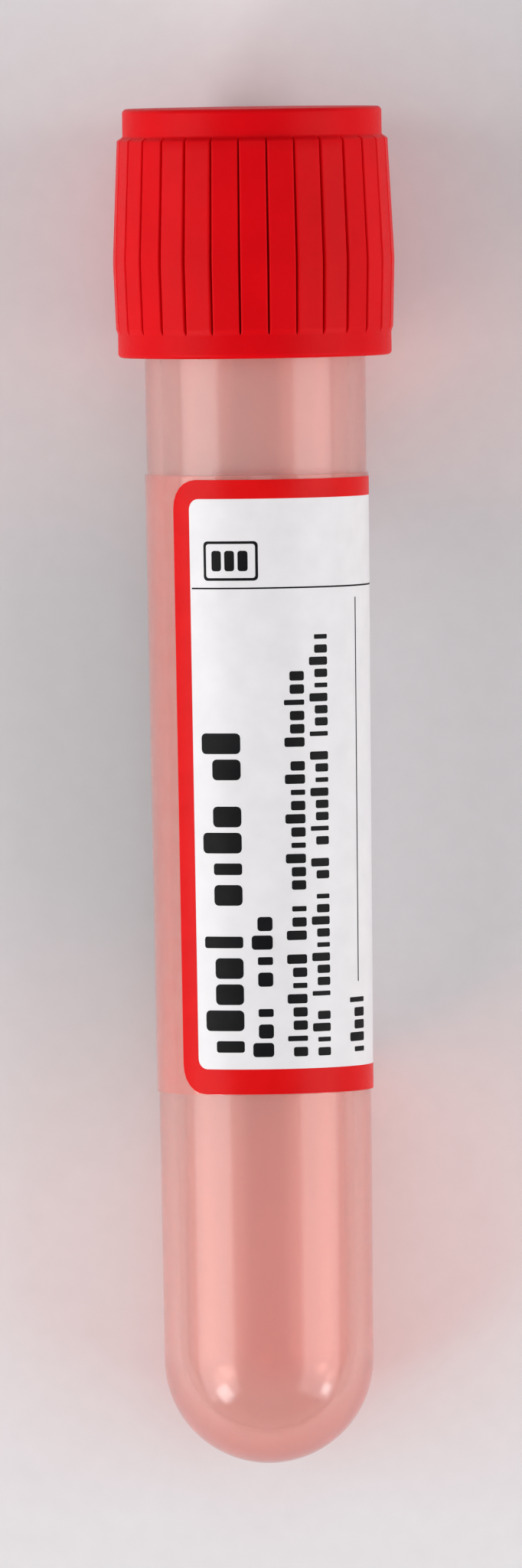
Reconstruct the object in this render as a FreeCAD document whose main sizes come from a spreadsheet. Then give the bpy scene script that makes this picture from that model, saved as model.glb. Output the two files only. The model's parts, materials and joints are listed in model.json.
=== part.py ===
"""Specimen swab tube: a round-ended tube, a screw cap with its plug, a label and the medium.

The tube lies on its side, on one rib of the cap and on its own round end.
Every piece is modelled upright, with the tube's axis on Z and the pole of its round end at
the origin. One placement then lays them all down, with the axis along +Y and the cap at +Y.
"""

import FreeCAD, Part
import math
import os

import Sketcher

# Driving dimensions, in millimetres and degrees. Angles round the tube are measured from the
# line that faces up when it lies down, and grow towards +X.
SIZES = {
    # tube
    "tube_length": 98.2,  # pole of the round end to the rim
    "end_radius": 7.69,  # outside of the round end
    "draft_angle": 0.344,  # between the side wall and the axis
    "side_wall": 1.15,
    "end_floor": 2.0,  # wall at the pole
    "neck_length": 15.4,  # rim to shoulder
    "neck_wall": 0.87,  # at the rim
    "shoulder_height": 0.4,
    "rim_bevel": 0.25,
    # thread on the neck
    "thread_height": 0.55,
    "thread_pitch": 3.2,
    "thread_turns": 2.0,
    "thread_drop": 3.0,  # rim to the middle of the last turn
    "thread_crest": 0.6,  # width of the crest
    "thread_root": 1.4,  # width at the neck
    # cap, from its bore outwards
    "cap_plate": 1.0,  # thickness of the top
    "skirt_overhang": 1.1,  # how far the skirt reaches past the shoulder
    "skirt_wall": 0.93,  # bore to the floor of the grip's grooves
    "ring_height": 2.0,  # smooth ring above the grip
    "rib_count": 30,
    "rib_width": 1.95,
    "rib_height": 0.38,  # at the top of the grip
    "rib_flare": 0.24,  # how much higher a rib is at its foot
    "rib_heel": 5.0,  # length at the foot that lies flat on the ground
    "rib_bevel": 0.3,  # along the axis, at both ends of a rib
    "collar_height": 1.8,  # smooth collar below the grip
    "collar_inset": 0.1,  # collar to the highest part of the ribs
    "cap_bevel": 0.3,  # on the edges of the skirt and the top, and on the plug
    # plug inside the cap, which seals the tube
    "plug_flange": 0.8,  # thickness of the disc on the rim
    "plug_depth": 4.0,
    "plug_wall": 0.8,
    "catch_depth": 9.0,  # cone that holds the broken swab shaft
    "catch_radius": 3.2,
    "catch_mouth": 2.5,
    "catch_tip": 1.1,
    # clearances
    "thread_gap": 0.12,  # thread crest to the bore of the skirt
    "flange_gap": 0.12,  # disc of the plug to the bore of the skirt
    "plug_gap": 0.06,  # plug to the mouth of the tube
    "medium_gap": 0.3,  # end of the medium to the plug
    "label_gap": 0.06,  # glue under the film
    # label
    "label_foot": 27.6,  # pole to the lower edge
    "label_height": 45.5,
    "label_film": 0.1,
    "label_start": -125.0,  # first edge of the film
    "label_wrap": 330.0,
    # transport medium
    "fill_height": 26.2,  # pole to the level in the upright tube, for 3 mL
}

SLOPE = "sin(Sizes.draft_angle)"


def wall_radius(height, inset="0"):
    """The radius at a height of the drafted wall, a named distance inside its outer face."""
    run = f"({height} - Sizes.end_radius) * {SLOPE}"
    return f"((Sizes.end_radius - {inset} + {run}) / cos(Sizes.draft_angle))"


# Places along the axis and radii, as expressions in the sheet's names
RIM = "Sizes.tube_length"
SHOULDER = f"({RIM} - Sizes.neck_length)"
CAP_ROOF = f"({RIM} + Sizes.plug_flange)"
CAP_TOP = f"({CAP_ROOF} + Sizes.cap_plate)"
CAP_FOOT = f"({SHOULDER} - Sizes.skirt_overhang)"
COLLAR_TOP = f"({CAP_FOOT} + Sizes.collar_height)"
RIB_FOOT = f"({COLLAR_TOP} + Sizes.rib_bevel)"
RING_FOOT = f"({CAP_TOP} - Sizes.ring_height)"
PLUG_FOOT = f"({RIM} - Sizes.plug_depth)"
CATCH_FOOT = f"({RIM} - Sizes.catch_depth)"
THREAD_FOOT = f"({RIM} - Sizes.thread_drop - Sizes.thread_pitch * Sizes.thread_turns)"
LABEL_TOP = "(Sizes.label_foot + Sizes.label_height)"
LABEL_INSIDE = "(-Sizes.label_gap)"
LABEL_OUTSIDE = "(-Sizes.label_gap - Sizes.label_film)"
# The tube's wall sets the neck, the neck sets the cap's bore, and the bore sets its outside
NECK = f"({wall_radius(RIM, 'Sizes.side_wall')} + Sizes.neck_wall)"
THREAD_CREST = f"({NECK} + Sizes.thread_height)"
SKIRT_BORE = f"({THREAD_CREST} + Sizes.thread_gap)"
RING = f"({SKIRT_BORE} + Sizes.skirt_wall)"
RIB_AT_TOP = f"({RING} + Sizes.rib_height)"
RIB_AT_FOOT = f"({RIB_AT_TOP} + Sizes.rib_flare)"
COLLAR = f"({RIB_AT_FOOT} - Sizes.collar_inset)"
# The lying tube touches the ground with its round end, a circle from the side, and a rib's foot.
# The rib's heel keeps to that line
TO_FOOT = f"({RIB_FOOT} - Sizes.end_radius)"
TILT = (
    f"(atan2({RIB_AT_FOOT}; {TO_FOOT})"
    f" - asin(Sizes.end_radius / hypot({TO_FOOT}; {RIB_AT_FOOT})))"
)
RIB_AT_HEEL = f"({RIB_AT_FOOT} + Sizes.rib_heel * tan({TILT}))"
# The inner round end is a ball too, as far inside the wall as the wall is thick
END_BORE = (
    f"((Sizes.end_radius - Sizes.side_wall"
    f" + (Sizes.end_floor - Sizes.end_radius) * {SLOPE}) / (1 - {SLOPE}))"
)
FACING_UP = 270  # from the X axis of the upright piece to the side that will face up, in degrees
NEAR = 1e-4  # how closely an edge is matched by place
LEVEL_STEPS = 40  # halvings in the search for the liquid's level


def make_sheet(doc):
    sheet = doc.addObject("Spreadsheet::Sheet", "Sizes")
    for row, (name, size) in enumerate(SIZES.items(), 1):
        sheet.set(f"A{row}", name)
        sheet.set(f"B{row}", str(size))
        sheet.setAlias(f"B{row}", name)
    doc.recompute()
    return sheet


def size_of(expression):
    """The value of an expression in the sheet's names."""
    return float(SHEET.evalExpression(expression))


def new_body(label):
    body = DOC.addObject("PartDesign::Body", label)
    body.Label = label
    return body


def new_sketch(body, name, role):
    """An empty sketch on one of the body's own origin planes."""
    sketch = body.newObject("Sketcher::SketchObject", name)
    plane = next(f for f in body.Origin.OriginFeatures if f.Role == role)
    sketch.AttachmentSupport = (plane, "")
    sketch.MapMode = "FlatFace"
    return sketch


def pin_point(sketch, edge, end, place):
    """Ties an edge's end to a (radius, height) pair of expressions."""
    x, y = place
    if x == "0":
        sketch.addConstraint(Sketcher.Constraint("PointOnObject", edge, end, -2))
    else:
        index = sketch.addConstraint(
            Sketcher.Constraint("DistanceX", -1, 1, edge, end, size_of(x))
        )
        sketch.setExpression(f"Constraints[{index}]", x)
    if y == "0":
        sketch.addConstraint(Sketcher.Constraint("PointOnObject", edge, end, -1))
    else:
        index = sketch.addConstraint(
            Sketcher.Constraint("DistanceY", -1, 1, edge, end, size_of(y))
        )
        sketch.setExpression(f"Constraints[{index}]", y)


def ball_arc(pole, side):
    """The arc from a pole on the axis to a point out at the side, about a centre on the axis."""
    rise = side.y - pole.y
    radius = (side.x**2 + rise**2) / (2 * rise)
    centre = FreeCAD.Vector(0, pole.y + radius, 0)
    circle = Part.Circle(centre, FreeCAD.Vector(0, 0, 1), radius)
    turn = math.atan2(side.y - centre.y, side.x)
    return Part.ArcOfCircle(circle, -math.pi / 2, turn)


def draw_outline(sketch, corners, poles=()):
    """Draws a closed outline through (radius, height) corners, each tied to the sheet.

    An edge that touches a corner listed in poles, and isn't on the axis, is a ball's arc.
    """
    count = len(corners)
    points = [FreeCAD.Vector(size_of(x), size_of(y), 0) for x, y in corners]
    starts, ends = [], []
    for i in range(count):
        here, after = i, (i + 1) % count
        on_axis = corners[here][0] == corners[after][0] == "0"
        if here in poles and not on_axis:
            sketch.addGeometry(ball_arc(points[here], points[after]))
            starts.append(1)
            ends.append(2)
        elif after in poles and not on_axis:
            sketch.addGeometry(ball_arc(points[after], points[here]))
            starts.append(2)
            ends.append(1)
        else:
            sketch.addGeometry(Part.LineSegment(points[here], points[after]))
            starts.append(1)
            ends.append(2)
            continue
        sketch.addConstraint(Sketcher.Constraint("PointOnObject", i, 3, -2))
    for i in range(count):
        before = i - 1 if i else count - 1
        joined = Sketcher.Constraint("Coincident", before, ends[before], i, starts[i])
        sketch.addConstraint(joined)
        pin_point(sketch, i, starts[i], corners[i])


def revolve(body, name, sketch, angle="360"):
    turned = body.newObject("PartDesign::Revolution", name)
    turned.Profile = sketch
    turned.ReferenceAxis = (sketch, ["V_Axis"])
    turned.setExpression("Angle", angle)
    DOC.recompute()
    return turned


def bevel_edges(body, name, base, size, places):
    """Bevels the circles of base that lie at these (radius, height) places."""
    wanted = [(size_of(x), size_of(y)) for x, y in places]
    names = []
    for number, edge in enumerate(base.Shape.Edges, 1):
        if edge.Degenerated or not isinstance(edge.Curve, Part.Circle):
            continue
        radius, height = edge.Curve.Radius, edge.Curve.Center.z
        if any(abs(radius - x) < NEAR and abs(height - y) < NEAR for x, y in wanted):
            names.append(f"Edge{number}")
    bevelled = body.newObject("PartDesign::Chamfer", name)
    bevelled.Base = (base, names)
    bevelled.setExpression("Size", size)
    DOC.recompute()
    return bevelled


def wind_thread(body, name, sketch):
    """Winds a thread's section up the axis."""
    thread = body.newObject("PartDesign::AdditiveHelix", name)
    thread.Profile = sketch
    thread.ReferenceAxis = (sketch, ["V_Axis"])
    thread.Mode = "pitch-turns-angle"
    thread.Angle = 0
    thread.Growth = 0
    thread.setExpression("Pitch", "Sizes.thread_pitch")
    thread.setExpression("Turns", "Sizes.thread_turns")
    DOC.recompute()
    return thread


def make_tube():
    body = new_body("tube")
    pole = ("0", "0")
    end_side = (
        "Sizes.end_radius * cos(Sizes.draft_angle)",
        f"Sizes.end_radius * (1 - {SLOPE})",
    )
    bore_side = (
        f"{END_BORE} * cos(Sizes.draft_angle)",
        f"Sizes.end_floor + {END_BORE} * (1 - {SLOPE})",
    )
    bore_pole = ("0", "Sizes.end_floor")
    corners = [
        pole,
        end_side,
        (wall_radius(SHOULDER), SHOULDER),
        (NECK, f"{SHOULDER} + Sizes.shoulder_height"),
        (NECK, RIM),
        (wall_radius(RIM, "Sizes.side_wall"), RIM),
        bore_side,
        bore_pole,
    ]
    profile = new_sketch(body, "TubeProfile", "XZ_Plane")
    draw_outline(profile, corners, poles=(corners.index(pole), corners.index(bore_pole)))
    turned = revolve(body, "TubeWall", profile)
    rim = [(NECK, RIM), (wall_radius(RIM, "Sizes.side_wall"), RIM)]
    bevelled = bevel_edges(body, "TubeRim", turned, "Sizes.rim_bevel", rim)

    section = new_sketch(body, "ThreadSection", "XZ_Plane")
    # The section starts inside the neck, so that the thread grows out of it
    root = f"({NECK} - Sizes.thread_height / 4)"
    corners = [
        (root, f"{THREAD_FOOT} - Sizes.thread_root / 2"),
        (THREAD_CREST, f"{THREAD_FOOT} - Sizes.thread_crest / 2"),
        (THREAD_CREST, f"{THREAD_FOOT} + Sizes.thread_crest / 2"),
        (root, f"{THREAD_FOOT} + Sizes.thread_root / 2"),
    ]
    draw_outline(section, corners)
    thread = wind_thread(body, "TubeThread", section)
    body.Tip = thread
    return body, (bevelled, thread)


def make_cap():
    """The cap is a cup: a flat top and a skirt, with a ribbed grip between two smooth bands."""
    body = new_body("screw_cap")
    corners = [
        ("0", CAP_ROOF),
        (SKIRT_BORE, CAP_ROOF),
        (SKIRT_BORE, CAP_FOOT),
        (COLLAR, CAP_FOOT),
        (COLLAR, COLLAR_TOP),
        (RING, COLLAR_TOP),
        (RING, CAP_TOP),
        ("0", CAP_TOP),
    ]
    profile = new_sketch(body, "CapProfile", "XZ_Plane")
    draw_outline(profile, corners)
    turned = revolve(body, "CapShell", profile)
    edges = [(RING, CAP_TOP), (COLLAR, CAP_FOOT), (SKIRT_BORE, CAP_FOOT)]
    bevelled = bevel_edges(body, "CapBevels", turned, "Sizes.cap_bevel", edges)

    # A rib starts inside the skirt, so that it grows out of it. Its outer face is flat
    inner = f"({RING} - Sizes.skirt_wall / 2)"
    side = new_sketch(body, "RibSide", "YZ_Plane")
    draw_outline(
        side,
        [
            (inner, COLLAR_TOP),
            (COLLAR, COLLAR_TOP),
            (RIB_AT_FOOT, RIB_FOOT),
            (RIB_AT_HEEL, f"({RIB_FOOT} + Sizes.rib_heel)"),
            (RIB_AT_TOP, f"({RING_FOOT} - Sizes.rib_bevel)"),
            (RING, RING_FOOT),
            (inner, RING_FOOT),
        ],
    )
    rib = body.newObject("PartDesign::Pad", "GripRib")
    rib.Profile = side
    rib.SideType = "Symmetric"
    rib.setExpression("Length", "Sizes.rib_width")
    DOC.recompute()
    ribs = body.newObject("PartDesign::PolarPattern", "GripRibs")
    ribs.Originals = [rib]
    ribs.Axis = (side, ["V_Axis"])
    ribs.Angle = 360
    ribs.setExpression("Occurrences", "Sizes.rib_count")
    body.Tip = ribs
    DOC.recompute()
    return body, (bevelled, rib, ribs)


def make_plug():
    """The plug is pressed into the cap. Its disc lies on the rim, its ring seals the tube's mouth,
    and its cone catches the swab.
    """
    body = new_body("cap_plug")
    bore = "(Sizes.side_wall + Sizes.plug_gap)"
    flange = f"({SKIRT_BORE} - Sizes.flange_gap)"
    corners = [
        ("0", RIM),
        ("Sizes.catch_tip", RIM),
        ("Sizes.catch_mouth", CATCH_FOOT),
        ("Sizes.catch_radius", CATCH_FOOT),
        ("Sizes.catch_radius", RIM),
        (wall_radius(RIM, f"({bore} + Sizes.plug_wall)"), RIM),
        (wall_radius(PLUG_FOOT, f"({bore} + Sizes.plug_wall)"), PLUG_FOOT),
        (wall_radius(PLUG_FOOT, bore), PLUG_FOOT),
        (wall_radius(RIM, bore), RIM),
        (flange, RIM),
        (flange, CAP_ROOF),
        ("0", CAP_ROOF),
    ]
    profile = new_sketch(body, "PlugProfile", "XZ_Plane")
    draw_outline(profile, corners)
    turned = revolve(body, "PlugShell", profile)
    foot = [(wall_radius(PLUG_FOOT, bore), PLUG_FOOT)]
    bevelled = bevel_edges(body, "PlugBevel", turned, "Sizes.cap_bevel", foot)
    body.Tip = bevelled
    return body, (turned, bevelled)


def make_label():
    """One sheet of film, wrapped on the tube's outer face."""
    body = new_body("label")
    film = new_sketch(body, "FilmSection", "XZ_Plane")
    film.AttachmentOffset = FreeCAD.Placement(
        FreeCAD.Vector(0, 0, 0), FreeCAD.Rotation(FreeCAD.Vector(0, 1, 0), 90)
    )
    film.setExpression("AttachmentOffset.Rotation.Angle", f"Sizes.label_start + {FACING_UP}")
    draw_outline(
        film,
        [
            (wall_radius("Sizes.label_foot", LABEL_INSIDE), "Sizes.label_foot"),
            (wall_radius("Sizes.label_foot", LABEL_OUTSIDE), "Sizes.label_foot"),
            (wall_radius(LABEL_TOP, LABEL_OUTSIDE), LABEL_TOP),
            (wall_radius(LABEL_TOP, LABEL_INSIDE), LABEL_TOP),
        ],
    )
    wrap = revolve(body, "FilmWrap", film, "Sizes.label_wrap")
    body.Tip = wrap
    return body, (wrap,)


def lying_placement():
    """Lays the axis along +Y, so that a rib of the cap and the round end both touch the ground."""
    end = size_of("Sizes.end_radius")
    tilt = math.radians(size_of(TILT))
    turn = FreeCAD.Rotation(FreeCAD.Vector(1, 0, 0), math.degrees(tilt) - 90)
    first = end * (math.cos(tilt) - 1)
    corner = size_of(f"{RING} - Sizes.cap_bevel")
    last = size_of(CAP_TOP) * math.cos(tilt) + corner * math.sin(tilt)
    middle = (first + last) / 2
    return FreeCAD.Placement(FreeCAD.Vector(0, -middle, end * (1 - math.sin(tilt))), turn)


def bore_solid(top):
    """The tube's bore, upright, from its round floor up to a height."""
    floor = FreeCAD.Vector(0, size_of("Sizes.end_floor"), 0)
    radius = size_of(END_BORE)
    slope = math.radians(size_of("Sizes.draft_angle"))
    side = FreeCAD.Vector(radius * math.cos(slope), floor.y + radius * (1 - math.sin(slope)), 0)
    upper = FreeCAD.Vector(size_of(wall_radius(top, "Sizes.side_wall")), size_of(top), 0)
    middle = FreeCAD.Vector(0, upper.y, 0)
    edges = [
        ball_arc(floor, side).toShape(),
        Part.makeLine(side, upper),
        Part.makeLine(upper, middle),
        Part.makeLine(middle, floor),
    ]
    face = Part.Face(Part.Wire(edges))
    bore = face.revolve(FreeCAD.Vector(0, 0, 0), FreeCAD.Vector(0, 1, 0), 360)
    bore.rotate(FreeCAD.Vector(0, 0, 0), FreeCAD.Vector(1, 0, 0), 90)
    return bore


def make_medium(placement):
    """The liquid: the bore up to the level that the upright fill reaches in the lying tube."""
    bore = bore_solid(f"({PLUG_FOOT} - Sizes.medium_gap)")
    reach = size_of(CAP_TOP)
    upright = placement.inverse()

    def filled_to(level):
        corner = FreeCAD.Vector(-reach, -reach, level - reach)
        slab = Part.makeBox(2 * reach, 2 * reach, reach, corner)
        slab.Placement = upright
        return bore.common(slab)

    fill = bore_solid("Sizes.fill_height").Volume
    low, high = 0.0, reach
    for _ in range(LEVEL_STEPS):
        level = (low + high) / 2
        if filled_to(level).Volume < fill:
            low = level
        else:
            high = level
    medium = DOC.addObject("Part::Feature", "transport_medium")
    medium.Label = "transport_medium"
    medium.Shape = filled_to(high)
    return medium


def check(part, steps=()):
    """Stops on a failed feature, a bad shape, or a step that left the solid as it was."""
    for feature in DOC.Objects:
        if "Invalid" in feature.State or "Error" in feature.State:
            raise RuntimeError(f"{feature.Name} failed: {feature.State}")
    for before, after in zip(steps, steps[1:]):
        if abs(before.Shape.Volume - after.Shape.Volume) < NEAR:
            raise RuntimeError(f"{after.Name} changes nothing")
    if part.Shape.isNull() or not part.Shape.isValid() or len(part.Shape.Solids) != 1:
        raise RuntimeError(f"{part.Label} isn't one valid solid")


DOC = FreeCAD.newDocument("SwabTube")
SHEET = make_sheet(DOC)
PLACEMENT = lying_placement()
MADE = [make_tube(), make_cap(), make_plug(), make_label(), (make_medium(PLACEMENT), ())]
for part, _ in MADE:
    part.Placement = PLACEMENT
DOC.recompute()
os.makedirs("parts", exist_ok=True)
for part, steps in MADE:
    check(part, steps)
for part, _ in MADE:
    part.Shape.exportStep(f"parts/{part.Label}.step")
    print(part.Label, round(part.Shape.Volume, 1), "mm3")
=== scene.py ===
"""A specimen swab tube that lies on its side, with its screw cap, film label and pink medium.

Every piece is modelled upright in millimetres, with the tube's axis on Z and the pole of its
round end at the origin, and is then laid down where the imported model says.
Angles round the label are measured from the line that faces up, and grow towards +X.
"""

import json
import math
import bmesh
import bpy
import numpy as np
from mathutils import Matrix, Vector


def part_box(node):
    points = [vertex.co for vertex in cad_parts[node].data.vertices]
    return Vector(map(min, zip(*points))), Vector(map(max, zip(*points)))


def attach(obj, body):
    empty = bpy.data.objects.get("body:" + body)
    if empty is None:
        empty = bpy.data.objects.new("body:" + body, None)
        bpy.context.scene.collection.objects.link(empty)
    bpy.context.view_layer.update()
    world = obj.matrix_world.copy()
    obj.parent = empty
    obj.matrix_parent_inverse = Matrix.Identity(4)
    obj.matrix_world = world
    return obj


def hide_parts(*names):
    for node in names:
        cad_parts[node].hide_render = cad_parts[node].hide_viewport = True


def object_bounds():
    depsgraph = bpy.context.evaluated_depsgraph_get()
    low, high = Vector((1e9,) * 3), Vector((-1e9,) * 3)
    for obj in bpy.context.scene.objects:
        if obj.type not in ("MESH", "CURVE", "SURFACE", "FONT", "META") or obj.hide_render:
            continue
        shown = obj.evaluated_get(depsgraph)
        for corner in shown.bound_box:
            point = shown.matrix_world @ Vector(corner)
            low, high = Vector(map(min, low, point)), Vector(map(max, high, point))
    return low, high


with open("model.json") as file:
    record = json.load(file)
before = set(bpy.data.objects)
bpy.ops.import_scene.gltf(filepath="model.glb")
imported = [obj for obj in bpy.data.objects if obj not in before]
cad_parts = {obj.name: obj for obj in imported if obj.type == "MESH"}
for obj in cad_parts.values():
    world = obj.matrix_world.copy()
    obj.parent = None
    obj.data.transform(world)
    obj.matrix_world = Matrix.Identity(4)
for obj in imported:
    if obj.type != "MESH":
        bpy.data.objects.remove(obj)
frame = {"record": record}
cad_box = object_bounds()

MM = 0.001

# ---- Sizes, in millimetres: the same as in the CAD source ----
DRAFT = math.radians(0.344)
END = 7.69  # outside of the round end
SIDE_WALL = 1.15
END_FLOOR = 2.0
RIM = 98.2
SHOULDER = RIM - 15.4
CAP_ROOF = RIM + 0.8  # underside of the cap's top, where the plug's disc ends
CAP_TOP = CAP_ROOF + 1.0
CAP_FOOT = SHOULDER - 1.1
COLLAR_TOP = CAP_FOOT + 1.8
RIB_FOOT = COLLAR_TOP + 0.3
RING_FOOT = CAP_TOP - 2.0
RIB_TOP = RING_FOOT - 0.3
THREAD_PITCH = 3.2
THREAD_TURNS = 2.0
THREAD_FOOT = RIM - 3.0 - THREAD_PITCH * THREAD_TURNS
THREAD_HEIGHT = 0.55
RIBS = 30
RIB_HALF_WIDTH = 0.975
MARK_DEPTH = 0.08  # of the round mark in the middle of the cap's top
HEEL_TOP = RIB_FOOT + 5.0  # end of the part of a rib that lies flat on the ground
LABEL_FOOT = 27.6
LABEL_TOP = LABEL_FOOT + 45.5
LABEL_START = -125.0
LABEL_END = 205.0
LABEL_MIDDLE = 50.0  # height at which lengths round the label are measured
FILM = 0.1
GLUE = 0.06
INK = 0.008  # thickness of a printed layer
PLUG_DEPTH = 4.0
PLUG_WALL = 0.8
PLUG_GAP = 0.06
FLANGE_GAP = 0.12
CATCH_DEPTH = 9.0
MEDIUM_GAP = 0.3  # end of the medium to the plug


def wall(z, inset=0.0):
    """The radius at height z of the drafted wall, some distance inside its outer face."""
    return (END - inset + (z - END) * math.sin(DRAFT)) / math.cos(DRAFT)


# Radii of the neck and the cap, from the inside out
NECK = wall(RIM, SIDE_WALL) + 0.87
SKIRT_BORE = NECK + THREAD_HEIGHT + 0.12
CORE = SKIRT_BORE + 0.93  # the ring at the top of the cap, and the floor of the grooves
RIB_AT_TOP = CORE + 0.38
RIB_AT_FOOT = RIB_AT_TOP + 0.24
COLLAR = RIB_AT_FOOT - 0.1
END_BORE = (END - SIDE_WALL + (END_FLOOR - END) * math.sin(DRAFT)) / (1 - math.sin(DRAFT))

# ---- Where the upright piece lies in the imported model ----
mount = next(m for m in frame["record"]["mounts"] if m["name"] == "cap_top")
ALONG = Vector(mount["axis"]).normalized()
BASE = np.array(Vector(mount["pos_m"]) - ALONG * CAP_TOP * MM)
LAY = np.array([[1, 0, 0], [0, ALONG.z, ALONG.y], [0, -ALONG.y, ALONG.z]])
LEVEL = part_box("transport_medium")[1].z
RIB_AT_HEEL = RIB_AT_FOOT + (HEEL_TOP - RIB_FOOT) * ALONG.z / ALONG.y


def lay_down(points):
    """Upright millimetres to the frame's metres."""
    return BASE + MM * np.asarray(points) @ LAY.T


# ---- Mesh helpers ----
def add_piece(name, points, faces, material, body, slot, sharp=50):
    mesh = bpy.data.meshes.new(name)
    mesh.from_pydata(lay_down(points).tolist(), [], faces)
    return finish_piece(name, mesh, material, body, sharp)


def finish_piece(name, mesh, material, body, sharp):
    mesh.polygons.foreach_set("use_smooth", [True] * len(mesh.polygons))
    mesh.set_sharp_from_angle(angle=math.radians(sharp))
    mesh.update()
    piece = bpy.data.objects.new(name, mesh)
    bpy.context.scene.collection.objects.link(piece)
    mesh.materials.append(material)
    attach(piece, body)
    return piece


def soften(corners, steps=5, hold=0.06):
    """Rounds an open outline's (r, z, radius) corners, with a point on each flat beside them."""
    line = [np.array(corners[0][:2])]
    for before, here, after in zip(corners, corners[1:], corners[2:]):
        spot, radius = np.array(here[:2]), here[2]
        if not radius:
            line.append(spot)
            continue
        a, b = np.array(before[:2]) - spot, np.array(after[:2]) - spot
        a, b = a / np.linalg.norm(a), b / np.linalg.norm(b)
        half = math.acos(np.clip(a @ b, -1, 1)) / 2
        cut = radius / math.tan(half)
        centre = spot + (a + b) / np.linalg.norm(a + b) * radius / math.sin(half)
        line.append(spot + a * (cut + hold))
        start, end = spot + a * cut - centre, spot + b * cut - centre
        sweep = math.acos(np.clip(start @ end / radius**2, -1, 1))
        for k in range(steps + 1):
            t = k / steps
            arm = math.sin((1 - t) * sweep) * start + math.sin(t * sweep) * end
            line.append(centre + arm / math.sin(sweep))
        line.append(spot + b * (cut + hold))
    line.append(np.array(corners[-1][:2]))
    return line


def run(a, b, count):
    """Points from a to b, without b."""
    return [np.array(a) + (np.array(b) - np.array(a)) * k / count for k in range(count)]


def ball(pole_z, radius, count, rising=True):
    """A quarter ball from its pole on the axis to where the drafted wall starts."""
    turns = [k / count * (math.pi / 2 - DRAFT) for k in range(count + 1)]
    if not rising:
        turns.reverse()
    return [np.array((radius * math.sin(t), pole_z + radius * (1 - math.cos(t)))) for t in turns]


def spin(line, columns, shape=None):
    """Turns an outline that starts and ends on the axis into the points and faces of a solid."""
    line = np.array(line)
    turn = np.arange(columns) * 2 * math.pi / columns
    r = np.repeat(line[1:-1, :1], columns, 1)
    z = np.repeat(line[1:-1, 1:], columns, 1)
    if shape:
        r = shape(r, z, turn[None, :])
    rows = len(r)
    grid = np.stack([r * np.cos(turn), r * np.sin(turn), z], -1).reshape(-1, 3)
    points = np.vstack([[0, 0, line[0, 1]], grid, [0, 0, line[-1, 1]]])
    faces, last = [], len(points) - 1
    for j in range(columns):
        after = (j + 1) % columns
        faces.append((0, 1 + after, 1 + j))
        faces.append((last - columns + j, last - columns + after, last))
    faces += strips(1, rows, columns)
    return points, faces


def strips(first, rows, columns):
    """Quads between rows of points that close on themselves, where first is the first point."""
    faces = []
    for i in range(rows - 1):
        for j in range(columns):
            after = (j + 1) % columns
            a, b = first + i * columns, first + (i + 1) * columns
            faces.append((a + j, a + after, b + after, b + j))
    return faces


def smooth_step(t):
    t = np.clip(t, 0, 1)
    return t * t * (3 - 2 * t)


def thread_height(z, turn, foot, turns, crest, root, fade=0.35):
    """How far a thread stands out, from 0 to 1, at heights and angles on its cylinder."""
    best = np.zeros(np.broadcast(z, turn).shape)
    for k in range(int(math.ceil(turns)) + 1):
        wound = turn + 2 * math.pi * k
        away = np.abs(z - foot - THREAD_PITCH * wound / (2 * math.pi))
        nose = smooth_step(wound / fade) * smooth_step((2 * math.pi * turns - wound) / fade)
        side = smooth_step((root / 2 - away) / ((root - crest) / 2))
        best = np.maximum(best, side * nose)
    return best


# ---- Materials ----
# Numbers of node outlets and inlets that share a name with others, or have none
OBJECT_SPACE = 3
Y_PART = 1
SHADOW_RAY, DIFFUSE_RAY = 1, 2
MIXED_COLOUR = 2


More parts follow.
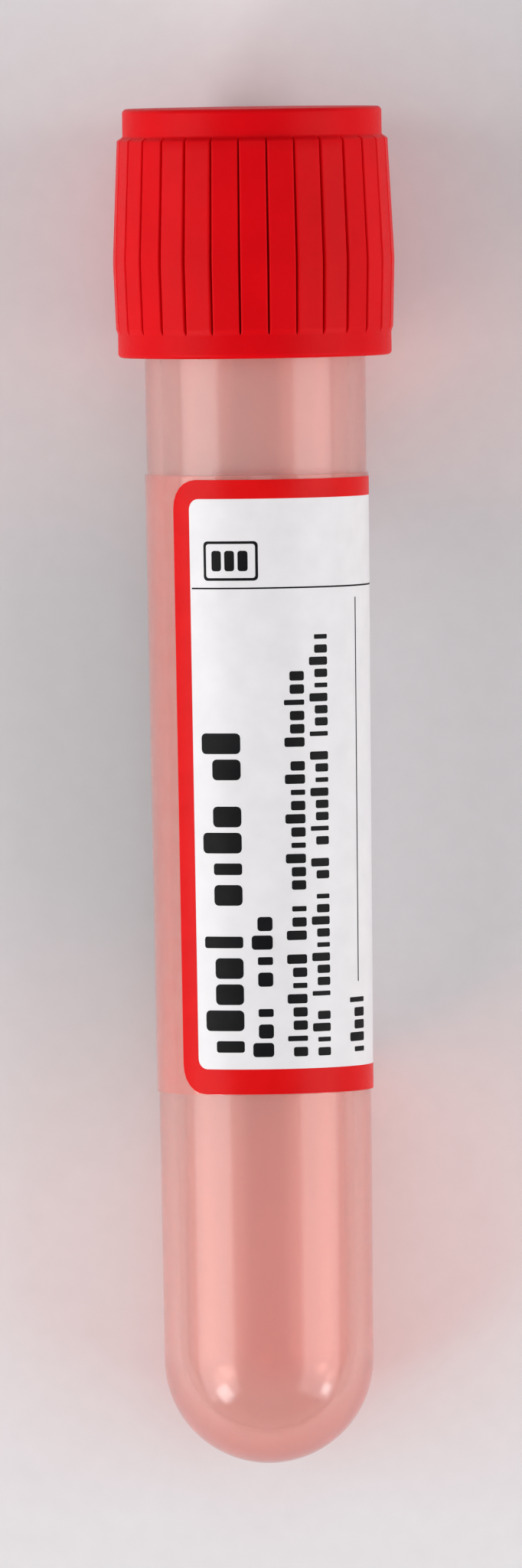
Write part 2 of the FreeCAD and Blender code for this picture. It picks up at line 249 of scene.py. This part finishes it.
class Nodes:
    """A material's nodes, added one call each."""

    def __init__(self, name):
        self.material = bpy.data.materials.new(name)
        self.material.use_nodes = True
        self.tree = self.material.node_tree
        self.tree.nodes.clear()
        self.out = self.tree.nodes.new("ShaderNodeOutputMaterial")

    def add(self, kind, outlet=0, settings=None, **inputs):
        """Adds a node and gives one outlet. Inputs go by name, or by number as i0, i1 and so on."""
        node = self.tree.nodes.new("ShaderNode" + kind)
        for key, value in (settings or {}).items():
            setattr(node, key, value)
        for key, value in inputs.items():
            numbered = key[0] == "i" and key[1:].isdigit()
            socket = node.inputs[int(key[1:]) if numbered else key.replace("_", " ")]
            if isinstance(value, bpy.types.NodeSocket):
                self.tree.links.new(value, socket)
            else:
                socket.default_value = value
        return node.outputs[outlet]

    def show(self, surface, volume=None):
        self.tree.links.new(surface, self.out.inputs["Surface"])
        if volume:
            self.tree.links.new(volume, self.out.inputs["Volume"])
        return self.material

    def spots(self, scale, detail=3.0, rough=0.5, stretch=(1, 1, 1)):
        """Noise over the piece, with scale in features per millimetre."""
        where = self.add("TexCoord", OBJECT_SPACE)
        where = self.add("Mapping", Vector=where, Scale=tuple(s * scale / MM for s in stretch))
        return self.add("TexNoise", Vector=where, Scale=1.0, Detail=detail, Roughness=rough)

    def along(self, start, stop):
        """The share of the way along the tube from one height to another, in millimetres."""
        where = self.add("TexCoord", OBJECT_SPACE)
        height = self.add("SeparateXYZ", Y_PART, Vector=where)
        a, b = (BASE[1] + ALONG.y * MM * z for z in (start, stop))
        return self.add("MapRange", Value=height, From_Min=a, From_Max=b)

    def between(self, source, low, high):
        """Maps a source's middle range onto low to high."""
        return self.add(
            "MapRange", Value=source, From_Min=0.3, From_Max=0.7, To_Min=low, To_Max=high
        )

    def tint(self, source, dark, light):
        """Mixes two colours by a source."""
        return self.mix(self.between(source, 0.0, 1.0), dark, light)

    def mix(self, share, first, second):
        """Mixes two colours, each given as numbers or as a socket, by a share from 0 to 1."""
        first, second = (
            c if isinstance(c, bpy.types.NodeSocket) else (*c, 1) for c in (first, second)
        )
        settings = {"data_type": "RGBA"}
        return self.add("Mix", MIXED_COLOUR, settings, i0=share, i6=first, i7=second)

    def clear_to_light(self, shader, tint):
        """Lets light from the lamps, and from matt surfaces, go straight through, tinted."""
        through = self.add("BsdfTransparent", Color=(*tint, 1))
        diffuse, shadow = (self.add("LightPath", ray) for ray in (DIFFUSE_RAY, SHADOW_RAY))
        seen = self.add("MixShader", i0=diffuse, i1=shader, i2=through)
        return self.add("MixShader", i0=shadow, i1=seen, i2=through)

    def relief(self, source, depth):
        """A bump whose full height is depth, in millimetres."""
        return self.add("Bump", Height=source, Distance=depth * MM, Strength=1.0)


def tube_plastic():
    """Moulded polypropylene: see-through but milky. Its pink, deeper where it's thick, is painted
    light: it stands in for pink light from the medium carried in the wall.
    """
    n = Nodes("tube_plastic")
    flow = n.spots(0.35, 2, stretch=(1, 0.12, 1))
    fine = n.spots(3.0, 4)
    # Painted light: the base colour changes from the round end to the cap, standing in for pink
    # light from the medium in the wall
    warm = n.tint(flow, (0.95, 0.90, 0.88), (0.97, 0.94, 0.93))
    cool = n.tint(flow, (0.94, 0.87, 0.86), (0.96, 0.92, 0.91))
    glass = n.add(
        "BsdfPrincipled",
        Base_Color=n.mix(n.along(12, 85), warm, cool),
        Roughness=n.between(fine, 0.12, 0.18),
        IOR=1.49,
        Specular_IOR_Level=0.28,
        Transmission_Weight=0.88,
        Normal=n.relief(flow, 0.02),
    )
    # Painted light: this pink absorption in the plastic stands in for pink light from the medium
    # carried in the wall
    pink_glow_absorption = n.add("VolumeAbsorption", Color=(0.96, 0.22, 0.06, 1), Density=270.0)
    return n.show(n.clear_to_light(glass, (0.97, 0.93, 0.92)), pink_glow_absorption)


def cap_plastic():
    """Moulded red polypropylene with a fine skin, which lets a little light into its grooves."""
    n = Nodes("cap_plastic")
    cloud = n.spots(0.25, 3)
    fine = n.spots(4.0, 5, 0.6)
    plastic = n.add(
        "BsdfPrincipled",
        Base_Color=n.tint(cloud, (0.67, 0.0004, 0.0035), (0.73, 0.0006, 0.0045)),
        Roughness=n.between(fine, 0.36, 0.48),
        IOR=1.49,
        Specular_IOR_Level=0.08,
        Subsurface_Weight=0.35,
        Subsurface_Radius=(0.0006, 0.00008, 0.00008),
        Subsurface_Scale=1.0,
        Normal=n.relief(fine, 0.006),
    )
    return n.show(plastic)


def clear_film():
    """Clear film and its glue. Their salmon colour is painted light: it stands in for pink light
    from the tube under them.
    """
    n = Nodes("clear_film")
    fine = n.spots(0.8, 3)
    film = n.add(
        "BsdfPrincipled",
        # Painted light: the salmon base colour stands in for pink light from under the film
        Base_Color=n.tint(fine, (0.98, 0.50, 0.45), (0.99, 0.56, 0.51)),
        Roughness=n.between(fine, 0.06, 0.12),
        IOR=1.47,
        Transmission_Weight=0.82,
        Normal=n.relief(fine, 0.004),
    )
    return n.show(n.clear_to_light(film, (0.96, 0.955, 0.955)))


def printed(name, dark, light, rough=(0.3, 0.4), gloss=0.5):
    """Ink on film: nearly even, with faint mottling and a gentle gloss."""
    n = Nodes(name)
    cloud = n.spots(0.5, 4)
    fine = n.spots(5.0, 3)
    ink = n.add(
        "BsdfPrincipled",
        Base_Color=n.tint(cloud, dark, light),
        Roughness=n.between(fine, *rough),
        IOR=1.47,
        Specular_IOR_Level=gloss,
        Normal=n.relief(fine, 0.002),
    )
    return n.show(ink)


def plug_plastic():
    """Moulded natural polyethylene: milky white and waxy."""
    n = Nodes("plug_plastic")
    cloud = n.spots(0.3, 3)
    fine = n.spots(4.0, 4)
    plastic = n.add(
        "BsdfPrincipled",
        Base_Color=n.tint(cloud, (0.80, 0.79, 0.76), (0.86, 0.85, 0.83)),
        Roughness=n.between(fine, 0.35, 0.45),
        IOR=1.51,
        Subsurface_Weight=0.2,
        Subsurface_Radius=(0.001, 0.0009, 0.0008),
        Subsurface_Scale=1.0,
        Normal=n.relief(fine, 0.004),
    )
    return n.show(plastic)


def pink_medium():
    """Clear liquid with a pink dye, which shows with depth."""
    n = Nodes("pink_medium")
    drift = n.spots(0.15, 2)
    water = n.add(
        "BsdfPrincipled",
        Base_Color=n.tint(drift, (0.985, 0.97, 0.97), (0.995, 0.985, 0.985)),
        Roughness=0.0,
        IOR=1.335,
        Specular_IOR_Level=0.3,
        Transmission_Weight=1.0,
    )
    dye = n.add("VolumeAbsorption", Color=(0.94, 0.20, 0.03, 1), Density=50.0)
    return n.show(n.clear_to_light(water, (1, 1, 1)), dye)


PLASTIC = tube_plastic()
RED_CAP = cap_plastic()
WHITE_PLUG = plug_plastic()
CLEAR = clear_film()
PANEL = printed("label_panel", (0.80, 0.78, 0.79), (0.85, 0.83, 0.84))
RED_INK = printed("red_ink", (0.70, 0.003, 0.004), (0.76, 0.005, 0.006), (0.3, 0.4), 0.12)
BLACK_INK = printed("black_ink", (0.004, 0.004, 0.005), (0.008, 0.008, 0.009), (0.45, 0.55), 0.12)
MEDIUM = pink_medium()


# ---- Tube ----
def neck_shape(r, z, turn):
    """Lets the thread stand out from the outside of the neck."""
    outside = (np.abs(r - NECK) < 1e-6) & (z > SHOULDER + 1)
    stand = thread_height(z, turn, THREAD_FOOT, THREAD_TURNS, 0.5, 1.5)
    return np.where(outside, r + THREAD_HEIGHT * stand, r)


def make_tube():
    outer_end = ball(0, END, 44)
    inner_end = ball(END_FLOOR, END_BORE, 40, rising=False)
    thread_from, thread_to = THREAD_FOOT - 1.2, RIM - 1.2
    rows = int((thread_to - thread_from) / 0.08)
    neck = soften(
        [
            (wall(SHOULDER - 2), SHOULDER - 2, 0),
            (wall(SHOULDER), SHOULDER, 0.12),
            (NECK, SHOULDER + 0.4, 0.12),
            (NECK, thread_from, 0),
        ]
    )
    rim = soften(
        [
            (NECK, thread_to, 0),
            (NECK, RIM, 0.22),
            (wall(RIM, SIDE_WALL), RIM, 0.22),
            (wall(RIM - 1, SIDE_WALL), RIM - 1, 0),
        ]
    )
    line = outer_end + run(outer_end[-1], neck[0], 24)[1:] + neck[:-1]
    line += run((NECK, thread_from), (NECK, thread_to), rows) + rim[:-1]
    line += run(rim[-1], inner_end[0], 24) + inner_end
    tube = add_piece("tube_body", *spin(line, 192, neck_shape), PLASTIC, "tube", "tube_plastic")
    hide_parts("tube")


# ---- Cap ----
def rib_columns():
    """One period of the grip, as an angle and a depth for each column of points.

    The depth is a share: 0 on a rib's land, 1 on the floor of a groove.
    """
    height = 0.5 * (RIB_AT_TOP + RIB_AT_FOOT) - CORE
    middle = CORE + height
    corner, heel = 0.11, 0.015
    start = RIB_HALF_WIDTH - corner
    half = [(0, 0), (0.4, 0), (start - 0.12, 0), (start - 0.03, 0)]
    for k in range(5):
        t = k / 4 * math.pi / 2
        half.append((start + corner * math.sin(t), corner * (1 - math.cos(t))))
    half.append((RIB_HALF_WIDTH, height - heel))
    half.append((RIB_HALF_WIDTH + 0.3 * heel, height - 0.3 * heel))
    half.append((RIB_HALF_WIDTH + heel, height))
    out = []
    for across, drop in half:
        angle = math.atan2(across, middle - drop)
        out.append((angle, drop / height))
    out.append((math.pi / RIBS, 1.0))
    mirrored = [(-a, d) for a, d in out[-2:0:-1]]
    return out + [(a + 2 * math.pi / RIBS, d) for a, d in mirrored]


def make_cap():
    """The cup: ribs and grooves outside, a thread inside, joined by a flat foot."""
    land_half_angle = 0.095
    period = rib_columns()
    turn = np.array([a + k * 2 * math.pi / RIBS for k in range(RIBS) for a, _ in period])
    turn += math.pi / 2
    depth = np.array([d for _ in range(RIBS) for _, d in period])
    step = 2 * math.pi / RIBS
    within = (turn - math.pi / 2 + step / 2) % step - step / 2
    within = np.clip(within, -land_half_angle, land_half_angle)
    flat = np.where(depth < 0.5, 1 / np.cos(within), 1.0)
    columns = len(turn)

    # Matching paths up a rib's land and up a groove, from the foot to the top's edge
    edge = soften(
        [(SKIRT_BORE + 0.7, CAP_FOOT, 0), (COLLAR, CAP_FOOT, 0.3), (COLLAR, COLLAR_TOP - 0.2, 0)]
    )
    edge = [(r, z, r, z, 0) for r, z in edge]
    ledge = COLLAR_TOP
    edge += [
        (COLLAR, ledge - 0.10, COLLAR, ledge - 0.10, 0),
        (COLLAR + 0.004, ledge - 0.04, COLLAR - 0.01, ledge - 0.045, 0.1),
        (COLLAR + 0.02, ledge + 0.04, COLLAR - 0.04, ledge - 0.01, 0.4),
        (COLLAR + 0.05, ledge + 0.14, COLLAR - 0.10, ledge, 0.7),
        (COLLAR + 0.08, ledge + 0.24, CORE + 0.12, ledge + 0.005, 0.9),
        (RIB_AT_FOOT - 0.004, RIB_FOOT + 0.02, CORE + 0.03, ledge + 0.03, 1),
        (RIB_AT_FOOT, RIB_FOOT + 0.12, CORE, ledge + 0.12, 1),
    ]
    high = RIB_TOP - 0.1
    heel = np.linspace(RIB_FOOT + 0.4, HEEL_TOP - 0.3, 4)
    for z in [*heel, *np.linspace(HEEL_TOP + 0.3, high, 12)]:
        land = np.interp(z, (RIB_FOOT, HEEL_TOP, RIB_TOP), (RIB_AT_FOOT, RIB_AT_HEEL, RIB_AT_TOP))
        edge.append((land, z, CORE, z, 1))
    for k in range(1, 8):
        t = k / 7
        share = 1 - smooth_step(t)
        z = high + (RING_FOOT - high) * t
        edge.append((CORE + (RIB_AT_TOP - CORE) * share, z, CORE, z, share))
    top = soften(
        [
            (CORE, RING_FOOT + 0.1, 0),
            (CORE, CAP_TOP, 0.34),
            (CORE - 2.0, CAP_TOP, 0),
        ],
        steps=8,
    )
    edge += [(r, z, r, z, 0) for r, z in top]
    rings = []
    for land, land_z, groove, groove_z, share in edge:
        stand = land * (1 + share * (flat - 1))
        r = stand + (groove - stand) * depth
        z = land_z + (groove_z - land_z) * depth
        rings.append(np.stack([r * np.cos(turn), r * np.sin(turn), z], -1))
    # A shallow round mark of the moulding in the middle of the top
    for r, sunk in [(5, 0), (1.5, 0), (1.3, 0.01), (1.1, 0.07), (0.9, MARK_DEPTH)]:
        level = np.full(columns, CAP_TOP - sunk)
        ring = np.stack([r * np.cos(turn), r * np.sin(turn), level], -1)
        rings.append(ring)
    outer = np.vstack(rings)
    points = [outer, [[0, 0, CAP_TOP - MARK_DEPTH]]]
    faces = strips(0, len(rings), columns)
    last = len(outer)
    for j in range(columns):
        faces.append((last - columns + j, last - columns + (j + 1) % columns, last))

    # Inside, from the axis outwards and down: the flat roof and the threaded skirt
    inside = soften(
        [(0, CAP_ROOF, 0), (SKIRT_BORE, CAP_ROOF, 0.2), (SKIRT_BORE, CAP_ROOF - 1.8, 0)]
    )
    inside[1:1] = [np.array((r, CAP_ROOF)) for r in (1.5, 5.0)]
    foot = soften(
        [
            (SKIRT_BORE, CAP_FOOT + 1.0, 0),
            (SKIRT_BORE, CAP_FOOT, 0.25),
            (SKIRT_BORE + 0.4, CAP_FOOT, 0),
        ]
    )
    inside += run(inside[-1], foot[0], 150)[1:] + foot
    inner_columns = 180
    spin_turn = np.arange(inner_columns) * 2 * math.pi / inner_columns
    line = np.array(inside[1:])
    r = np.repeat(line[:, :1], inner_columns, 1)
    z = np.repeat(line[:, 1:], inner_columns, 1)
    groove = thread_height(z, spin_turn[None, :], CAP_FOOT + 2.6, 3.6, 0.7, 1.7)
    threaded = (np.abs(r - SKIRT_BORE) < 1e-6) & (z < RIM - 0.9) & (z > CAP_FOOT + 0.9)
    r = np.where(threaded, r + 0.32 * groove, r)
    inner = np.stack([r * np.cos(spin_turn), r * np.sin(spin_turn), z], -1).reshape(-1, 3)
    first = last + 1
    points += [inner, [[0, 0, CAP_ROOF]]]
    centre = first + len(inner)
    faces += strips(first, len(line), inner_columns)
    for j in range(inner_columns):
        faces.append((centre, first + (j + 1) % inner_columns, first + j))
    points = np.vstack(points)

    # The flat foot joins the two skins, which have different numbers of columns
    inner_ring = [first + len(inner) - inner_columns + j for j in range(inner_columns)]
    faces += join_rings(inner_ring, list(range(columns)), points)
    cap = add_piece("screw_cap_body", points, faces, RED_CAP, "cap", "cap_plastic")
    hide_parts("screw_cap")


def make_plug():
    """The plug: a disc on the rim, a ring in the mouth and the cone that holds a swab."""
    bore = SIDE_WALL + PLUG_GAP
    ring_foot, cone_foot = RIM - PLUG_DEPTH, RIM - CATCH_DEPTH
    flange = SKIRT_BORE - FLANGE_GAP
    line = soften(
        [
            (0, RIM, 0),
            (1.1, RIM, 0.2),
            (2.5, cone_foot, 0.1),
            (3.2, cone_foot, 0.2),
            (3.2, RIM, 0.3),
            (wall(RIM, bore + PLUG_WALL), RIM, 0.3),
            (wall(ring_foot, bore + PLUG_WALL), ring_foot, 0.25),
            (wall(ring_foot, bore), ring_foot, 0.35),
            (wall(RIM, bore), RIM, 0.15),
            (flange, RIM, 0.15),
            (flange, CAP_ROOF, 0.15),
            (flange - 2, CAP_ROOF, 0),
            (0, CAP_ROOF, 0),
        ]
    )
    plug = add_piece("cap_plug_body", *spin(line, 144), WHITE_PLUG, "cap", "plug_plastic")
    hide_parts("cap_plug")


def join_rings(inner, outer, points):
    """Triangles between two flat rings about the axis, walked round together by angle."""
    full = 2 * math.pi

    def turns(ring):
        return np.unwrap([math.atan2(points[i][1], points[i][0]) for i in ring])

    a, b = turns(inner), turns(outer)
    shift = int(np.argmin(np.abs((a - b[0] + math.pi) % full - math.pi)))
    inner = inner[shift:] + inner[:shift]
    a = turns(inner)
    b = b + full * round((a[0] - b[0]) / full)
    faces, i, j = [], 0, 0
    while i < len(inner) or j < len(outer):
        next_a = a[i + 1] if i + 1 < len(inner) else a[0] + full * (1 if i < len(inner) else 9)
        next_b = b[j + 1] if j + 1 < len(outer) else b[0] + full * (1 if j < len(outer) else 9)
        here_a, here_b = inner[i % len(inner)], outer[j % len(outer)]
        if next_a <= next_b:
            faces.append((here_a, inner[(i + 1) % len(inner)], here_b))
            i += 1
        else:
            faces.append((here_a, outer[(j + 1) % len(outer)], here_b))
            j += 1
    return faces


# ---- Label ----
def film_radius(z):
    """The outside of the film."""
    return wall(z, -GLUE - FILM)


DEGREE = math.pi / 180 * film_radius(LABEL_MIDDLE)  # millimetres round the film


def make_film():
    """A sheet of clear film with rounded edges, wrapped on the tube and open down the back."""
    top, soft = GLUE + FILM, 0.03
    along = 20  # points on each long side, between its corners
    section = [
        (LABEL_FOOT, 0),
        (LABEL_FOOT, top - soft),
        (LABEL_FOOT + 0.3 * soft, top - 0.3 * soft),
        (LABEL_FOOT + soft, top),
    ]
    section += [(z, top) for z in np.linspace(LABEL_FOOT, LABEL_TOP, along + 2)[1:-1]]
    section += [
        (LABEL_TOP - soft, top),
        (LABEL_TOP - 0.3 * soft, top - 0.3 * soft),
        (LABEL_TOP, top - soft),
        (LABEL_TOP, 0),
    ]
    section += [(z, 0) for z in np.linspace(LABEL_TOP, LABEL_FOOT, along + 2)[1:-1]]
    turns = np.radians(np.linspace(LABEL_START, LABEL_END, 221) + 270)
    count = len(section)
    points, faces = [], []
    for turn in turns:
        for z, out in section:
            r = wall(z) + out
            points.append((r * math.cos(turn), r * math.sin(turn), z))
    for i in range(len(turns) - 1):
        for k in range(count):
            a, b = i * count, (i + 1) * count
            after = (k + 1) % count
            faces.append((a + k, b + k, b + after, a + after))
    # Each end of the sheet: quads between its two sides, and a face at either corner
    closing = [(4 + k, 5 + k, count - 2 - k, count - 1 - k) for k in range(along - 1)]
    closing += [(0, 1, 2, 3, 4, count - 1), tuple(range(along + 3, along + 9))]
    end = (len(turns) - 1) * count
    for face in closing:
        faces += [face, tuple(end + k for k in reversed(face))]
    film = add_piece("label_film", points, faces, CLEAR, "tube", "label_film", sharp=35)
    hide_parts("label")


def rounded_box(left, right, low, high, radius, steps=6):
    """A loop of (degrees, height) round a box on the label, with round corners in millimetres."""
    across = radius / DEGREE
    loop = []
    for cx, cz, start in (
        (right - across, high - radius, 0),
        (left + across, high - radius, 90),
        (left + across, low + radius, 180),
        (right - across, low + radius, 270),
    ):
        for k in range(steps + 1):
            t = math.radians(start + 90 * k / steps)
            loop.append((cx + across * math.cos(t), cz + radius * math.sin(t)))
    return loop


def in_order(bm):
    """A bmesh's points, no edges and its faces, in an order that is the same in every run."""
    verts = sorted(bm.verts, key=lambda v: tuple(v.co))
    for i, v in enumerate(verts):
        v.index = i
    faces = []
    for face in bm.faces:
        loop = [v.index for v in face.verts]
        first = loop.index(min(loop))
        faces.append(loop[first:] + loop[:first])
    return [tuple(v.co) for v in verts], [], sorted(faces)


def print_on(name, shapes, material, lift):
    """Lays flat shapes on the film. Each shape is a list of loops: its outline and its holes."""
    bm = bmesh.new()
    for loops in shapes:
        edges = []
        for loop in loops:
            verts = [bm.verts.new((x, z, 0)) for x, z in loop]
            edges += [bm.edges.new((v, verts[(i + 1) % len(verts)])) for i, v in enumerate(verts)]
        bmesh.ops.triangle_fill(bm, edges=edges, use_beauty=True, normal=(0, 0, 1))
    low = min(v.co.x for v in bm.verts)
    high = max(v.co.x for v in bm.verts)
    # Cuts every two degrees let the shapes bend. Points that lie on a cut stay as they are
    for x in np.arange(math.ceil(low / 2) * 2, high, 2.0):
        geometry = bm.verts[:] + bm.edges[:] + bm.faces[:]
        bmesh.ops.bisect_plane(
            bm, geom=geometry, dist=1e-4, plane_co=(x, 0, 0), plane_no=(1, 0, 0)
        )
    raised = bmesh.ops.extrude_face_region(bm, geom=bm.faces[:])
    for item in raised["geom"]:
        if isinstance(item, bmesh.types.BMVert):
            item.co.z = 1
    for v in bm.verts:
        turn = math.radians(v.co.x + 270)
        r = film_radius(v.co.y) + lift + INK * v.co.z
        v.co = lay_down((r * math.cos(turn), r * math.sin(turn), v.co.y))
    bmesh.ops.recalc_face_normals(bm, faces=bm.faces)
    mesh = bpy.data.meshes.new(name)
    mesh.from_pydata(*in_order(bm))
    bm.free()
    return finish_piece(name, mesh, material, "tube", 35)


def blocks(left, right, low, high, words, gap=0.28):
    """A row along the tube of letter-sized blocks, in words of the given numbers of blocks."""
    tall = (right - left) * DEGREE
    share = (high - low + gap) / (sum(words) + 0.8 * (len(words) - 1))
    out, at = [], low
    for count in words:
        for k in range(count):
            short = 0 if (k + count) % 3 == 0 else 0.28 * (right - left)
            thin = 0.22 * (share - gap) if (5 * k + count) % 4 == 1 else 0
            foot, top = at + k * share + thin, at + (k + 1) * share - gap - thin
            corner = min(top - foot, tall) * 0.22
            out.append([rounded_box(left + short, right, foot, top, corner, 3)])
        at += (count + 0.8) * share
    return out


def make_print():
    """The panel, its border, two rules and rows of blocks, as (left, right, low, high) boxes."""
    outer = (-48.4, 188.0, LABEL_FOOT + 0.06, LABEL_TOP - 0.3)
    inner = (-37.5, 177.0, LABEL_FOOT + 1.9, LABEL_TOP - 1.7)
    panel = rounded_box(inner[0] - 3, inner[1] + 3, inner[2] - 0.5, inner[3] + 0.5, 0.9)
    print_on("label_panel", [[panel]], PANEL, 0.0)
    ring = [rounded_box(*outer, 2.15), rounded_box(*inner, 0.8)]
    print_on("label_border", [ring], RED_INK, 0.009)

    foot, top = inner[2], inner[3]
    box = [rounded_box(-29, 0, top - 6.0, top - 3.1, 0.3, 3)]
    box.append(rounded_box(-27.6, -1.4, top - 5.8, top - 3.3, 0.2, 3))
    black = [box]
    for left in (-24.5, -17.5, -10.5):
        black.append([rounded_box(left, left + 5.2, top - 5.3, top - 3.8, 0.2, 3)])
    black.append([rounded_box(inner[0] + 1, 176, top - 6.62, top - 6.5, 0.05, 2)])
    black.append([rounded_box(59.6, 60.5, foot + 6.2, top - 7.4, 0.05, 2)])
    black += blocks(-32, -10.5, foot + 0.9, foot + 24.7, (5, 4, 2), 0.4)
    black += blocks(-6, 5, foot + 0.9, foot + 11.2, (3, 4), 0.32)
    black += blocks(12.5, 23.5, foot + 0.9, foot + 29.2, (8, 3, 10, 6))
    black += blocks(26.5, 37.5, foot + 0.9, foot + 32.0, (4, 9, 2, 8, 9))
    black += blocks(52, 66, foot + 0.9, foot + 5.2, (5,), 0.25)
    print_on("label_print", black, BLACK_INK, 0.009)


# ---- Medium ----
def make_medium():
    """The liquid: the bore's own shape, cut off level.

    It reaches a little into the plastic, so that no film of air shows between the two.
    """
    overlap = 0.05
    inset = SIDE_WALL - overlap
    top = RIM - PLUG_DEPTH - MEDIUM_GAP
    end = ball(END_FLOOR - overlap, END_BORE + overlap, 44)
    line = end + run(end[-1], (wall(top, inset), top), 40)[1:]
    line += [np.array((wall(top, inset), top)), np.array((0, top))]
    points, faces = spin(line, 160)
    bm = bmesh.new()
    verts = [bm.verts.new(p) for p in lay_down(points)]
    for face in faces:
        bm.faces.new([verts[i] for i in face])
    geometry = bm.verts[:] + bm.edges[:] + bm.faces[:]
    cut = bmesh.ops.bisect_plane(
        bm, geom=geometry, plane_co=(0, 0, LEVEL), plane_no=(0, 0, 1), clear_outer=True
    )
    rim = [g for g in cut["geom_cut"] if isinstance(g, bmesh.types.BMEdge)]
    bmesh.ops.triangle_fill(bm, edges=rim, use_beauty=True, normal=(0, 0, 1))
    bmesh.ops.recalc_face_normals(bm, faces=bm.faces)
    mesh = bpy.data.meshes.new("medium_liquid")
    bm.to_mesh(mesh)
    bm.free()
    medium = finish_piece("medium_liquid", mesh, MEDIUM, "tube", 30)
    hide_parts("transport_medium")


make_tube()
make_cap()
make_plug()
make_film()
make_print()
make_medium()


# ---- Stage, lights and camera ----
LAMP_TARGET = (0, 0, 0.01)


def make_floor():
    n = Nodes("floor_paper")
    grain = n.spots(0.6, 4)
    paper = n.add(
        "BsdfPrincipled",
        Base_Color=n.tint(grain, (0.79, 0.765, 0.775), (0.81, 0.785, 0.795)),
        Roughness=0.75,
        IOR=1.3,
    )
    bm = bmesh.new()
    bmesh.ops.create_grid(bm, x_segments=1, y_segments=1, size=4)
    mesh = bpy.data.meshes.new("floor")
    bm.to_mesh(mesh)
    bm.free()
    floor = bpy.data.objects.new("floor", mesh)
    bpy.context.scene.collection.objects.link(floor)
    mesh.materials.append(n.show(paper))


def lamp(name, place, size, power):
    """A soft box that faces the middle of the tube."""
    data = bpy.data.lights.new(name, "AREA")
    data.shape = "RECTANGLE"
    data.size, data.size_y = size
    data.energy = power
    light = bpy.data.objects.new(name, data)
    light.location = place
    light.rotation_mode = "QUATERNION"
    light.rotation_quaternion = (Vector(LAMP_TARGET) - Vector(place)).to_track_quat("-Z", "Y")
    bpy.context.scene.collection.objects.link(light)


def make_world():
    world = bpy.data.worlds.new("studio")
    world.use_nodes = True
    tree = world.node_tree
    tree.nodes["Background"].inputs["Color"].default_value = (0.93, 0.93, 0.96, 1)
    tree.nodes["Background"].inputs["Strength"].default_value = 0.36
    bpy.context.scene.world = world


def make_camera():
    lo, hi = cad_box
    middle = (lo + hi) / 2
    lean, roll = math.radians(0.45), math.radians(0.8)
    distance, tall, sensor = 1.6, 0.1155, 24.0
    data = bpy.data.cameras.new("camera")
    data.sensor_fit = "VERTICAL"
    data.sensor_height = sensor
    data.sensor_width = sensor
    data.lens = sensor * distance / tall
    data.clip_start, data.clip_end = 0.05, 20
    camera = bpy.data.objects.new("camera", data)
    back = Vector((0, math.sin(lean), math.cos(lean)))
    up = Vector((math.sin(roll), math.cos(roll), 0))
    right = up.cross(back).normalized()
    up = back.cross(right)
    turned = Matrix((right, up, back)).transposed()
    camera.matrix_world = Matrix.Translation(middle + back * distance) @ turned.to_4x4()
    bpy.context.scene.collection.objects.link(camera)
    bpy.context.scene.camera = camera


make_floor()
lamp("left_light", (-0.80, -0.16, 0.44), (1.0, 0.75), 6.0)
lamp("right_light", (0.80, -0.16, 0.44), (1.0, 0.75), 5.2)
lamp("top_light", (0.1, 0.6, 1.3), (0.5, 0.5), 0.8)
# Two small lamps for the bright spots on the round end
lamp("left_spark", (-0.66, -0.54, 0.42), (0.26, 0.26), 1.7)
lamp("right_spark", (0.78, -0.46, 0.24), (0.16, 0.16), 0.7)
make_world()
make_camera()
bpy.context.scene.view_settings.view_transform = "Standard"
